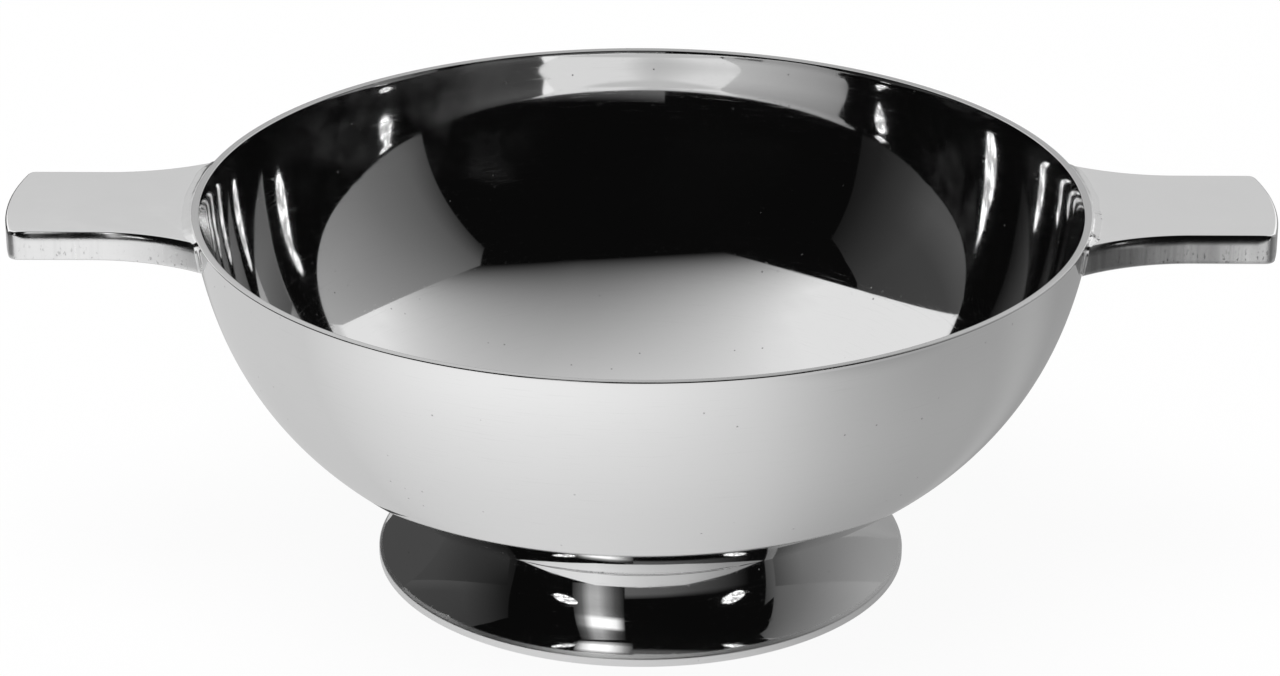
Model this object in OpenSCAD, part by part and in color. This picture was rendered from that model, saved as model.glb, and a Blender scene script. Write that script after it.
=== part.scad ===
// Quaich: a shallow drinking bowl with two flat lugs, on a spun foot.
// Millimetres, +Z up. The foot stands on z = 0 and the lugs lie along X.
// Bowl and foot are spun from sheet, the lugs are cast, and solder joins them.

/* [Bowl] */
// Diameter over the rim
rim_d = 102; // [92:1:116]
// Outside depth, from the rim down to the flat underside
bowl_depth = 36.3; // [30:0.1:42]
// Radius of the wall below the rim, which is a little straighter than the wall under it
brim_r = 46.6; // [42:0.2:56]
// Lean of the wall at the rim, in degrees
brim_lean = 5.1; // [3:0.1:7]
// Lean of the wall where the brim ends and the rounder wall starts, in degrees
turn_lean = 19.4; // [16:0.2:24]
// Wall thickness of the bowl
bowl_wall = 1; // [0.8:0.05:1.4]
// Radius of the two softened edges of the rim
rim_edge_r = 0.15; // [0.05:0.05:0.3]

/* [Foot] */
// Diameter over the lip that the foot stands on
foot_d = 61.3; // [56:0.1:68]
// Height of the foot, from the table to the top of its neck
foot_h = 8.95; // [7:0.05:12]
// Outside diameter of the neck under the bowl
neck_d = 51.2; // [46:0.2:54]
// Radius of the hollow flare from the neck out to the lip
foot_flare_r = 16.5; // [13:0.5:24]
// Wall thickness of the foot
foot_wall = 1; // [0.8:0.05:1.4]
// Height of the lip's upright side
lip_side_h = 0.9; // [0.6:0.05:1.2]
// Width of the ring that touches the table
lip_w = 1.8; // [1.4:0.1:2.6]
// Radius of the lip's upper edge
lip_edge_r = 0.3; // [0.2:0.05:0.4]

/* [Lugs] */
// Reach of a lug beyond the rim
lug_len = 21; // [18:0.25:26]
// Width of a lug along its straight sides
lug_w = 19; // [16:0.25:21]
// Width of a lug where it meets the bowl
lug_root_w = 26.2; // [23:0.2:30]
// Thickness of a lug
lug_t = 3.35; // [2.4:0.05:4.5]
// Step from the rim down to the top of a lug
lug_drop = 0.45; // [0.3:0.05:1.5]
// Radius of the flare where a lug widens into the bowl
lug_flare_r = 23; // [18:0.5:28]
// Radius of the bowed tip
lug_tip_r = 36; // [28:0.5:60]
// Radius of the two corners of the tip
lug_corner_r = 1.5; // [1.2:0.1:3]
// Radius of the upper edge of a lug
lug_edge_r = 0.8; // [0.4:0.05:1.1]
// Radius of the lower edge of a lug
lug_under_r = 0.2; // [0.1:0.05:0.4]

/* [Solder] */
// Least thickness of the solder between two pieces
solder_film = 0.2; // [0.1:0.05:0.3]
// Reach of the solder beyond the foot's neck
neck_fillet = 0.75; // [0.4:0.05:0.9]
// Reach of the solder beyond the root of a lug
lug_fillet = 0.25; // [0.1:0.05:0.25]
// Clearance that keeps a faceted seam off the faces it joins
seam_gap = 0.01; // [0.005:0.005:0.02]

/* [Hidden] */
$fn = 256;

rim_r = rim_d / 2;
foot_r = foot_d / 2;
neck_r = neck_d / 2;

// The flare of the foot is one arc, from the top of the neck to the top of the lip
lip_h = lip_side_h + lip_edge_r;
flare_top = [neck_r, foot_h];
flare_end = [foot_r - lip_edge_r, lip_h];
flare_chord = flare_end - flare_top;
flare_bow = sqrt(foot_flare_r ^ 2 - (norm(flare_chord) / 2) ^ 2);
foot_flare_mid = (flare_top + flare_end) / 2 + flare_bow * [-flare_chord.y, flare_chord.x] / norm(flare_chord);
neck_in_r = foot_flare_mid.x - sqrt((foot_flare_r + foot_wall) ^ 2 - (foot_flare_mid.y - foot_h) ^ 2);

// The wall of the bowl is two arcs that run smoothly together: one is level where it leaves the flat,
// and the other ends at the rim. Heights are from the bowl's underside.
brim_mid = [rim_r - brim_r * cos(brim_lean), bowl_depth + brim_r * sin(brim_lean)];
turn = brim_mid + brim_r * [cos(turn_lean), -sin(turn_lean)];
wall_r = turn.y / (1 - sin(turn_lean));
wall_mid = [turn.x - wall_r * cos(turn_lean), wall_r];
flat_r = wall_mid.x;
function wall_rise(r) = r <= flat_r ? 0 : wall_r - sqrt(wall_r ^ 2 - (r - flat_r) ^ 2);
function wall_radius(z) = let (h = z - bowl_z) h > turn.y
    ? brim_mid.x + sqrt(brim_r ^ 2 - (h - brim_mid.y) ^ 2)
    : flat_r + sqrt(wall_r ^ 2 - (h - wall_r) ^ 2);

// The bowl rests on the inner edge of the neck, over a film of solder
bowl_z = foot_h + solder_film - wall_rise(neck_in_r);
rim_z = bowl_z + bowl_depth;

// Places on the outline of a lug, which points along +X
lug_top = rim_z - lug_drop;
lug_half = lug_w / 2;
root_half = lug_root_w / 2;
root_x = sqrt(rim_r ^ 2 - root_half ^ 2);
lug_flare_angle = acos(1 - (root_half - lug_half) / lug_flare_r);
lug_flare_mid = [root_x + lug_flare_r * sin(lug_flare_angle), lug_half + lug_flare_r];
tip_mid_x = rim_r + lug_len - lug_tip_r;
corner_y = lug_half - lug_corner_r;
corner_x = tip_mid_x + sqrt((lug_tip_r - lug_corner_r) ^ 2 - corner_y ^ 2);
corner_angle = atan2(corner_y, corner_x - tip_mid_x);

// Points along an arc, from angle a0 to a1
function arc(centre, r, a0, a1, steps) =
    [for (i = [0:steps]) let (a = a0 + (a1 - a0) * i / steps) centre + r * [cos(a), sin(a)]];

function inner(points) = [for (i = [1:len(points) - 2]) points[i]];
function reversed(points) = [for (i = [len(points) - 1:-1:0]) points[i]];
function mirrored(points) = [for (p = reversed(points)) [p.x, -p.y]];

// Flare of a lug, drawn in by inset, from a circle about the bowl's axis to the straight side
function lug_flare(inset, root_r) = let (
        r = lug_flare_r + inset,
        reach = norm(lug_flare_mid),
        turn = acos((reach ^ 2 + r ^ 2 - root_r ^ 2) / (2 * reach * r)),
        start = atan2(lug_flare_mid.y, lug_flare_mid.x) - 180 + turn
    )
    arc(lug_flare_mid, r, start, -90, 12);

// Arc of a lug's root about the bowl's axis, from the near side to the far side
function lug_root(inset, root_r) = let (end = lug_flare(inset, root_r)[0], a = atan2(end.y, end.x))
    arc([0, 0], root_r, -a, a, 24);

// Whole outline of a lug, drawn in by inset, with its root coped to that circle
function lug_outline(inset, root_r) = let (
        flare = lug_flare(inset, root_r),
        corner = arc([corner_x, corner_y], lug_corner_r - inset, 90, corner_angle, 6),
        tip = arc([tip_mid_x, 0], lug_tip_r - inset, corner_angle, -corner_angle, 16)
    )
    concat(flare, corner, inner(tip), mirrored(corner), mirrored(flare), inner(lug_root(inset, root_r)));

// Levels of a lug's rounded edges, from its underside to its top: how far drawn in, and the height
function lug_levels(grow) = let (z0 = lug_top - lug_t - grow, z1 = lug_top + grow) concat(
    [for (a = [0:30:90]) [lug_under_r * (1 - sin(a)) - grow, z0 + lug_under_r * (1 - cos(a))]],
    [for (a = [0:15:90]) [lug_edge_r * (1 - cos(a)) - grow, z1 - lug_edge_r * (1 - sin(a))]]);

// Half a section of the bowl's outer form, grown outwards, cut level at top
module bowl_form(grow, top) {
    turn_h = turn.y - grow * sin(turn_lean);
    reach = 2 * rim_r;
    translate([0, bowl_z]) {
        translate([0, -grow]) square([flat_r, top - bowl_z + grow]);
        intersection() {
            translate(wall_mid) circle(wall_r + grow);
            translate([flat_r, -grow]) square([reach, turn_h + grow]);
        }
        intersection() {
            translate(brim_mid) circle(brim_r + grow);
            translate([flat_r, turn_h]) square([reach, top - bowl_z - turn_h]);
        }
    }
}

// What is cut from one edge of the rim: side is 1 outside and -1 inside
module rim_edge_cut(edge_r, side) {
    corner = [edge_r - side * rim_edge_r, rim_z - rim_edge_r];
    round_edge = [for (a = [0:15:90]) corner + rim_edge_r * [side * cos(a), sin(a)]];
    out = side * bowl_wall / 4;
    polygon(concat([[edge_r + out, rim_z + bowl_wall], [edge_r + out, rim_z - rim_edge_r]],
        round_edge, [[corner.x, rim_z + bowl_wall]]));
}

module bowl() {
    color("gainsboro") rotate_extrude() difference() {
        bowl_form(0, rim_z);
        bowl_form(-bowl_wall, rim_z + bowl_wall);
        rim_edge_cut(rim_r, 1);
        rim_edge_cut(rim_r - bowl_wall, -1);
    }
}

module foot() {
    color("silver") rotate_extrude() {
        intersection() {
            square([flare_end.x, foot_h]);
            translate(foot_flare_mid) difference() {
                circle(foot_flare_r + foot_wall);
                circle(foot_flare_r);
            }
        }
        // Lip with a softened upper edge
        polygon(concat([[foot_r - lip_w, 0], [foot_r, 0]],
            arc([flare_end.x, lip_side_h], lip_edge_r, 0, 90, 6), [[foot_r - lip_w, lip_h]]));
    }
}

module foot_solder() {
    color("lightgray") rotate_extrude() difference() {
        translate([neck_in_r, foot_h]) square([neck_r + neck_fillet - neck_in_r, 4 * neck_fillet]);
        bowl_form(0, rim_z);
        // Hollow face of the fillet outside the neck
        translate([neck_r + neck_fillet, foot_h]) circle(neck_fillet);
    }
}

// Triangles that close a ring of n points: from one point that sees all the others, or across a narrow band
function fan(n, from) = [for (i = [1:n - 2]) [from, (from + i) % n, (from + i + 1) % n]];
function band(n) = [for (i = [0:n / 2 - 2]) let (j = n - 1 - i) each [[i, i + 1, j], [i + 1, j - 1, j]]];

// Closed solid through rings of as many points each, listed clockwise from above, from low to high
module loft(rings, lid) {
    n = len(rings[0]);
    last = len(rings) - 1;
    walls = [for (k = [0:last - 1], i = [0:n - 1]) let (j = (i + 1) % n)
        each [[k * n + i, k * n + j, (k + 1) * n + i], [k * n + j, (k + 1) * n + j, (k + 1) * n + i]]];
    top = [for (t = lid) [for (i = t) last * n + i]];
    base = [for (t = lid) reversed(t)];
    polyhedron([for (ring = rings) each ring], concat(walls, base, top), convexity = 4);
}

module lug() {
    rings = [for (level = lug_levels(0)) let (root_r = wall_radius(level[1]) + solder_film)
        [for (p = lug_outline(level[0], root_r)) [p.x, p.y, level[1]]]];
    // The middle of the tip sees the whole outline
    reach = [for (p = rings[0]) p.x];
    loft(rings, fan(len(reach), search(max(reach), reach)[0]));
}

module lug_solder() {
    rings = [for (level = lug_levels(lug_fillet)) let (
            bowl_side = lug_root(level[0], wall_radius(level[1]) + seam_gap),
            lug_side = lug_root(level[0], wall_radius(level[1]) + solder_film - seam_gap)
        )
        [for (p = concat(reversed(lug_side), bowl_side)) [p.x, p.y, level[1]]]];
    loft(rings, band(len(rings[0])));
}

module lug_right() { color("gainsboro") lug(); }

module lug_left() { color("gainsboro") mirror([1, 0, 0]) lug(); }

module lug_solder_right() { color("lightgray") lug_solder(); }

module lug_solder_left() { color("lightgray") mirror([1, 0, 0]) lug_solder(); }

bowl();
foot();
lug_left();
lug_right();
foot_solder();
lug_solder_left();
lug_solder_right();
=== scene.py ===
"""Dress a quaich, a two-lugged drinking bowl in polished white metal, on a studio table."""

from __future__ import annotations

import logging
import math
from collections.abc import Callable
from dataclasses import dataclass, field
from enum import Enum
from typing import Any, Union

import bmesh
import bpy
from mathutils import Matrix, Vector, noise

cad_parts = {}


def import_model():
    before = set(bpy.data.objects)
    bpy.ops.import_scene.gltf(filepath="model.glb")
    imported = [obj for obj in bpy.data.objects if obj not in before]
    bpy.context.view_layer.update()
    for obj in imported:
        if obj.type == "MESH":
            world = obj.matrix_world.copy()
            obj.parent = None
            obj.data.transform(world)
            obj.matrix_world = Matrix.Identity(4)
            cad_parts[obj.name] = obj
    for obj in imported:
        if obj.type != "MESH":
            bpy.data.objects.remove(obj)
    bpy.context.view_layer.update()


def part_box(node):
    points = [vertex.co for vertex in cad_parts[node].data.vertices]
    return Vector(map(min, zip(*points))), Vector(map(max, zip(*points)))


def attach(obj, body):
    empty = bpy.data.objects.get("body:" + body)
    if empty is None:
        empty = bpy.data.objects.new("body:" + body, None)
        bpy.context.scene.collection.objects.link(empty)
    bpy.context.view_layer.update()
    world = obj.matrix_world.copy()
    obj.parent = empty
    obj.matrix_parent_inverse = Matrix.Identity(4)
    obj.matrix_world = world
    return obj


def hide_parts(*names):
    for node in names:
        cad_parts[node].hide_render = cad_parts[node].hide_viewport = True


LOG = logging.getLogger("quaich")
MM = 0.001
BODY = "root"
ON_AXIS = 1e-7
NEARLY = 1e-6
MAX_BOUNCES = 24
GLOSSY_BOUNCES = 16

# The cards are laid out in millimetres and degrees, and their greys are linear.
BLACK = 0.003
BOWL_MID = 30
DRAPE_AWAY = 4000
PANEL_AWAY = 2500
STRIP_AWAY = 1200
STRIP_NEAR = 80
SIDE_AWAY = 156
GREY_AWAY = 152
WALL_AWAY = 150

Point = tuple[float, float]
Row = tuple[float, ...]
Corners = tuple[tuple[float, float, float], ...]
Rail = tuple[tuple[float, float, float, float], ...]
Ring = list[Vector]
Value = Union["Wire", float, int]

# The section of the solder on a lug's root, as shares of its rise on the wall and of its run out from it.
SEAM_PROFILE: tuple[Point, ...] = (
    (1.05, -0.12),
    (0.95, 0.04),
    (0.68, 0.18),
    (0.42, 0.4),
    (0.2, 0.68),
    (0.04, 0.94),
    (-0.12, 1.14),
    (-0.5, 0.4),
)
# How uneven that solder is: shares of its size, and the scale of the noise for each, per millimetre.
SEAM_WAVES: tuple[Point, ...] = ((0.18, 0.3), (0.06, 0.9))


class Side(Enum):
    """The side of the bowl that a lug is on, as the sign of X."""

    LEFT = -1
    RIGHT = 1


class Seen(Enum):
    """Which reflections show a card."""

    ALWAYS = "always"
    FIRST = "first"
    LATER = "later"


class Wire:
    """A shader socket: arithmetic on it adds Math nodes to its sheet."""

    def __init__(self, sheet: NodeSheet, socket: bpy.types.NodeSocket) -> None:
        """Keep the sheet and the output socket."""
        self.sheet = sheet
        self.socket = socket

    def out(self, name: str) -> Wire:
        """Give another output of the same node."""
        return Wire(self.sheet, self.socket.node.outputs[name])

    def _math(self, operation: str, *values: Value) -> Wire:
        """Add one Math node.

        Args:
            operation: Blender's name of the operation.
            *values: its inputs in order.

        Returns:
            The node's result.
        """
        return self.sheet.node("ShaderNodeMath", {"operation": operation}, dict(enumerate(values)))

    def __add__(self, other: Value) -> Wire:
        """Add a value."""
        return self._math("ADD", self, other)

    def __radd__(self, other: Value) -> Wire:
        """Add to a value."""
        return self._math("ADD", other, self)

    def __sub__(self, other: Value) -> Wire:
        """Take a value away."""
        return self._math("SUBTRACT", self, other)

    def __rsub__(self, other: Value) -> Wire:
        """Take this from a value."""
        return self._math("SUBTRACT", other, self)

    def __mul__(self, other: Value) -> Wire:
        """Multiply by a value."""
        return self._math("MULTIPLY", self, other)

    def __rmul__(self, other: Value) -> Wire:
        """Multiply a value by this."""
        return self._math("MULTIPLY", other, self)

    def __truediv__(self, other: Value) -> Wire:
        """Divide by a value."""
        return self._math("DIVIDE", self, other)

    def __pow__(self, other: Value) -> Wire:
        """Raise to a power."""
        return self._math("POWER", self, other)

    def __abs__(self) -> Wire:
        """Drop the sign."""
        return self._math("ABSOLUTE", self)

    def at_most(self, other: Value) -> Wire:
        """Take the lower of two values."""
        return self._math("MINIMUM", self, other)

    def at_least(self, other: Value) -> Wire:
        """Take the higher of two values."""
        return self._math("MAXIMUM", self, other)

    def eased(self, low: float, high: float) -> Wire:
        """Rise smoothly from 0 at low to 1 at high, or fall if low is the larger.

        Args:
            low: the value that gives 0.
            high: the value that gives 1.

        Returns:
            A value from 0 to 1.
        """
        ends = (low, high, 0.0, 1.0) if low < high else (high, low, 1.0, 0.0)
        inputs = dict(enumerate((self, *ends)))
        return self.sheet.node("ShaderNodeMapRange", {"interpolation_type": "SMOOTHSTEP"}, inputs)


class NodeSheet:
    """The nodes of one material or world, emptied at the start."""

    def __init__(self, tree: bpy.types.NodeTree) -> None:
        """Empty the tree and keep it."""
        tree.nodes.clear()
        self.tree = tree

    def node(
        self,
        kind: str,
        settings: dict[str, Any] | None = None,
        inputs: dict[str | int, Any] | None = None,
        output: str | int = 0,
    ) -> Wire:
        """Add any node.

        Args:
            kind: Blender's type of node.
            settings: its properties, set before its sockets.
            inputs: a value or a Wire for each named or numbered socket.
            output: the output that is wanted.

        Returns:
            That output.
        """
        made = self.tree.nodes.new(kind)
        for name, value in (settings or {}).items():
            setattr(made, name, value)
        for key, value in (inputs or {}).items():
            if isinstance(value, Wire):
                self.tree.links.new(value.socket, made.inputs[key])
            else:
                made.inputs[key].default_value = value
        return Wire(self, made.outputs[output]) if len(made.outputs) else Wire(self, made.inputs[0])

    def place(self) -> Wire:
        """Give the place on the object, in metres."""
        return self.node("ShaderNodeTexCoord", output="Object")

    def facing(self) -> Wire:
        """Give how far the surface faces up, from -1 to 1."""
        return self.axes(self.node("ShaderNodeNewGeometry", output="Normal"))[2]

    def axes(self, vector: Wire) -> tuple[Wire, Wire, Wire]:
        """Split a vector into its three parts."""
        split = self.node("ShaderNodeSeparateXYZ", inputs={0: vector})
        return split, split.out("Y"), split.out("Z")

    def vector(self, x: Value, y: Value, z: Value) -> Wire:
        """Join three values into a vector."""
        return self.node("ShaderNodeCombineXYZ", inputs={0: x, 1: y, 2: z})

    def grain(self, place: Wire, scale: float, detail: float = 2.0, rough: float = 0.5) -> Wire:
        """Add a noise texture.

        Args:
            place: where it is read.
            scale: grains per unit of place.
            detail: octaves of finer noise.
            rough: how strong the finer octaves are.

        Returns:
            Noise about 0.5.
        """
        inputs = {"Vector": place, "Scale": scale, "Detail": detail, "Roughness": rough}
        return self.node("ShaderNodeTexNoise", inputs=inputs)

    def shade(self, factor: Wire, low: float, high: float) -> Wire:
        """Mix two greys.

        Args:
            factor: 0 for the first and 1 for the second.
            low: the first grey.
            high: the second grey.

        Returns:
            The mixed colour.
        """
        inputs = {0: factor, 6: (low, low, low, 1.0), 7: (high, high, high, 1.0)}
        return self.node("ShaderNodeMix", {"data_type": "RGBA"}, inputs, 2)

    def bump(self, height: Wire, depth: float) -> Wire:
        """Turn a height into a shading normal.

        Args:
            height: the height, in units of depth.
            depth: metres for a height of 1.

        Returns:
            The normal.
        """
        return self.node("ShaderNodeBump", inputs={"Strength": 1.0, "Distance": depth, "Height": height})

    def metal(self, color: Wire, rough: Wire, normal: Wire, metallic: Value = 1.0) -> None:
        """Send metal to the output.

        Args:
            color: its colour.
            rough: its roughness.
            normal: its shading normal.
            metallic: 1 where it is bare, and less under a film.
        """
        inputs = {"Base Color": color, "Metallic": metallic, "Roughness": rough, "Normal": normal}
        self.end(self.node("ShaderNodeBsdfPrincipled", inputs=inputs))

    def end(self, shader: Wire, world: bool = False) -> None:
        """Send a shader to the output."""
        self.node("ShaderNodeOutputWorld" if world else "ShaderNodeOutputMaterial", inputs={0: shader})


def new_material(name: str) -> tuple[bpy.types.Material, NodeSheet]:
    """Start a material with an empty sheet of nodes.

    Args:
        name: its name.

    Returns:
        The material and its sheet.
    """
    material = bpy.data.materials.new(name)
    material.use_nodes = True
    return material, NodeSheet(material.node_tree)


@dataclass(frozen=True)
class SpunPolish:
    """Mirror polish on spun sheet, with turning ripples, hairlines, faint smears and specks.

    It is wavy above the height wavy_from, satin outside the radius satin_from, and dressed dull where it
    faces up above the height dressed_from. A value of 1 m leaves that out. Scales are in grains per metre.
    """

    name: str
    tone: float = 0.9
    gloss: float = 0.03
    ripple: float = 0.0000004
    ripple_scale: float = 420.0
    hair_scale: float = 7000.0
    cloud_scale: float = 55.0
    smudge_scale: float = 150.0
    speck_scale: float = 600.0
    speck_shade: float = 0.4
    smear: float = 0.03
    film: float = 0.0
    wavy_from: float = 1.0
    waves: float = 3.5
    satin_from: float = 1.0
    satin_rough: float = 0.3
    dressed_from: float = 1.0
    dressed_shade: float = 0.32
    dressed_rough: float = 0.1
    change: float = 0.1 * MM

    def material(self) -> bpy.types.Material:
        """Make the material."""
        material, sheet = new_material(self.name)
        place = sheet.place()
        x, y, z = sheet.axes(place)
        facing = sheet.facing()
        radius = (x * x + y * y) ** 0.5
        turn = sheet.node("ShaderNodeMath", {"operation": "ARCTAN2"}, {0: y, 1: x})
        wide, fine = self.ripple_scale, self.hair_scale
        ripples = sheet.grain(sheet.vector(radius * wide, z * wide, turn * 0.5), 1.0, 2.0)
        hairs = sheet.grain(sheet.vector(radius * fine, z * fine, turn * 9.0), 1.0, 1.0).eased(0.6, 0.74)
        slant = sheet.vector(x * 260 + y * 1500, y * 260 - x * 1500, z * 2600)
        strokes = sheet.grain(slant, 1.0, 1.0).eased(0.66, 0.76)
        clouds = sheet.grain(place, self.cloud_scale, 4.0, 0.6)
        cells = sheet.node("ShaderNodeTexVoronoi", inputs={"Vector": place, "Scale": self.speck_scale})
        picked = sheet.axes(cells.out("Color"))[0].eased(0.78, 0.84)
        specks = cells.eased(0.1, 0.04) * picked
        dressed = z.eased(self.dressed_from - self.change, self.dressed_from) * facing.eased(0.7, 0.95)
        brim = z.eased(self.wavy_from - 6 * MM, self.wavy_from + 2 * MM)
        smudges = sheet.grain(place, self.smudge_scale, 5.0, 0.7).eased(0.4, 0.75)
        smudges = smudges * x.eased(-10 * MM, -22 * MM) * y.eased(20 * MM, 35 * MM)
        satin = radius.eased(self.satin_from - self.change, self.satin_from + self.change)
        shade = (1 - self.speck_shade * specks) * (0.985 + 0.03 * clouds) * (1 - 0.02 * hairs)
        shade = shade * (1 - self.dressed_shade * dressed)
        rough = self.gloss + satin * self.satin_rough + dressed * self.dressed_rough
        rough = rough + clouds.eased(0.45, 0.75) * self.smear
        rough = rough + hairs * 0.05 + strokes * 0.06 + specks * 0.3
        height = ripples * (1 + self.waves * brim) + hairs * 0.12 - specks * 0.8
        sheet.metal(
            sheet.shade(shade, 0.0, self.tone),
            rough,
            sheet.bump(height, self.ripple),
            1 - self.film * brim * smudges,
        )
        return material


@dataclass(frozen=True)
class FiledMetal:
    """Casting with a buffed top and filed, satin sides, pitted low down, with painted shade on its sides
    away from the tip.
    """

    name: str
    tone: float = 0.95
    gloss: float = 0.1
    satin: float = 0.24
    satin_top: float = 0.4
    satin_run: float = 0.28
    pits: float = 0.35
    pits_top: float = 42.5 * MM
    pits_full: float = 40.2 * MM
    root_shade: float = 0.0
    root_shade_tip: float = 70.5 * MM
    root_shade_full: float = 62.5 * MM
    streaks: float = 0.22
    slant: float = 0.6
    depth: float = 0.000002

    def material(self) -> bpy.types.Material:
        """Make the material."""
        material, sheet = new_material(self.name)
        place = sheet.place()
        x, y, z = sheet.axes(place)
        facing = sheet.facing()
        side = abs(facing).eased(self.satin_top, self.satin_top - self.satin_run)
        along = x + y * self.slant
        marks = sheet.grain(sheet.vector(along * 2600, y * 300, z * 120), 1.0, 3.0, 0.6)
        strokes = sheet.grain(sheet.vector(along * 900, 0.0, z * 60), 1.0, 2.0)
        low = z.eased(self.pits_top, self.pits_full)
        pits = sheet.grain(sheet.vector(along * 3200, y * 3200, z * 1500), 1.0, 2.0).eased(0.6, 0.7) * low
        buffed = sheet.grain(sheet.vector(x * 300, y * 5200, z * 3000), 1.0, 2.0)
        clouds = sheet.grain(place, 160.0, 4.0, 0.6)
        filed = side * (0.14 * (0.5 - marks) + self.streaks * (strokes - 0.5) - self.pits * pits)
        # Painted shade: the sides darken from near the tip in towards the root.
        root_shaded = 1 - self.root_shade * side * abs(x).eased(self.root_shade_tip, self.root_shade_full)
        shade = ((0.975 + 0.05 * clouds + filed) * root_shaded).at_most(1.0).at_least(0.05)
        edge = facing.eased(0.05, 0.2) * facing.eased(0.9, 0.7)
        waves = sheet.grain(sheet.vector(along * 260, 0.0, z * 90), 1.0, 2.0)
        height = side * (marks * 3.0 - pits * 6.0) + (1 - side) * (buffed * 0.12) + edge * waves * 9.0
        rough = self.gloss + side * (self.satin - self.gloss + 0.1 * marks)
        rough = rough + (1 - side) * (buffed.eased(0.5, 0.75) * 0.05 + clouds.eased(0.5, 0.7) * 0.03)
        sheet.metal(sheet.shade(shade, 0.0, self.tone), rough, sheet.bump(height, self.depth))
        return material


@dataclass(frozen=True)
class SolderMetal:
    """Solder that was run in and dressed, with pits where the seam is open.

    It is hardly open anywhere if pits is below 0.
    """

    name: str
    tone: float = 0.8
    gloss: float = 0.2
    pits: float = 0.2
    depth: float = 0.00001

    def material(self) -> bpy.types.Material:
        """Make the material."""
        material, sheet = new_material(self.name)
        place = sheet.place()
        clouds = sheet.grain(place, 1500.0, 3.0, 0.6)
        more = 0.3 * self.pits
        open_part = sheet.grain(place, 170.0, 1.0).eased(0.62 - more, 0.74 - more)
        pits = clouds.eased(0.5, 0.62) * open_part
        sheet.metal(
            sheet.shade(1 - 0.8 * pits - 0.06 * clouds, 0.0, self.tone),
            self.gloss + clouds * 0.12 + pits * 0.4,
            sheet.bump(clouds * 0.3 - pits * 4.0, self.depth),
        )
        return material


def smooth(value: float) -> float:
    """Hold a value between 0 and 1, and ease it in and out."""
    share = min(1.0, max(0.0, value))
    return share * share * (3 - 2 * share)


def arc(centre: Point, radius: float, start: float, end: float, steps: int) -> list[Point]:
    """Give points along an arc.

    Args:
        centre: its centre.
        radius: its radius.
        start: the first angle, in radians.
        end: the last angle, in radians.
        steps: the number of steps.

    Returns:
        One point more than there are steps.
    """
    turns = (start + (end - start) * i / steps for i in range(steps + 1))
    return [(centre[0] + radius * math.cos(a), centre[1] + radius * math.sin(a)) for a in turns]


def line(start: Point, end: Point, steps: int) -> list[Point]:
    """Give points between two points, without either.

    Args:
        start: the first point.
        end: the last point.
        steps: the number of steps.

    Returns:
        One point fewer than there are steps.
    """
    shares = (i / steps for i in range(1, steps))
    return [(start[0] + (end[0] - start[0]) * s, start[1] + (end[1] - start[1]) * s) for s in shares]


def mesh_object(name: str, work: bmesh.types.BMesh) -> bpy.types.Object:
    """Turn a bmesh into a smooth object with its faces outwards.

    Args:
        name: the object's name.
        work: the bmesh, which is freed.

    Returns:
        The object, linked to the scene.
    """
    bmesh.ops.recalc_face_normals(work, faces=work.faces[:])
    for face in work.faces:
        face.smooth = True
    mesh = bpy.data.meshes.new(name)
    work.to_mesh(mesh)
    work.free()
    made = bpy.data.objects.new(name, mesh)
    bpy.context.scene.collection.objects.link(made)
    return made


def spin(name: str, section: list[Point], segments: int) -> bpy.types.Object:
    """Turn a section about the Z axis.

    Args:
        name: the object's name.
        section: radius and height along it. It is closed unless both ends are on the axis.
        segments: the number of steps round.

    Returns:
        The object.
    """
    work = bmesh.new()
    turns = [2 * math.pi * i / segments for i in range(segments)]
    rings = []
    for r, z in section:
        count = 1 if r < ON_AXIS else segments
        rings.append([work.verts.new((r * math.cos(a), r * math.sin(a), z)) for a in turns[:count]])
    pairs = list(zip(rings, rings[1:]))
    if len(rings[0]) > 1:
        pairs.append((rings[-1], rings[0]))
    for low, high in pairs:
        for i in range(segments):
            j = (i + 1) % segments
            corners = [low[i % len(low)], low[j % len(low)], high[j % len(high)], high[i % len(high)]]
            work.faces.new(list(dict.fromkeys(corners)))
    return mesh_object(name, work)


def loft(name: str, rings: list[Ring]) -> bpy.types.Object:
    """Skin a stack of rings and close its two ends.

    Args:
        name: the object's name.
        rings: as many points each.

    Returns:
        The object.
    """
    work = bmesh.new()
    stack = [[work.verts.new(p) for p in ring] for ring in rings]
    count = len(rings[0])
    for low, high in zip(stack, stack[1:]):
        for i in range(count):
            j = (i + 1) % count
            work.faces.new((low[i], low[j], high[j], high[i]))
    work.faces.new(stack[0][::-1])
    work.faces.new(stack[-1])
    return mesh_object(name, work)


def wear(piece: bpy.types.Object, material: bpy.types.Material, node: str) -> None:
    """Finish a piece and set it in the frame in place of its solid.

    Args:
        piece: the piece.
        material: its finish.
        node: the solid that it stands for.
    """
    piece.data.materials.append(material)
    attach(piece, BODY)
    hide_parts(node)
    LOG.info("%s: %d faces in place of %s", piece.name, len(piece.data.polygons), node)


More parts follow.
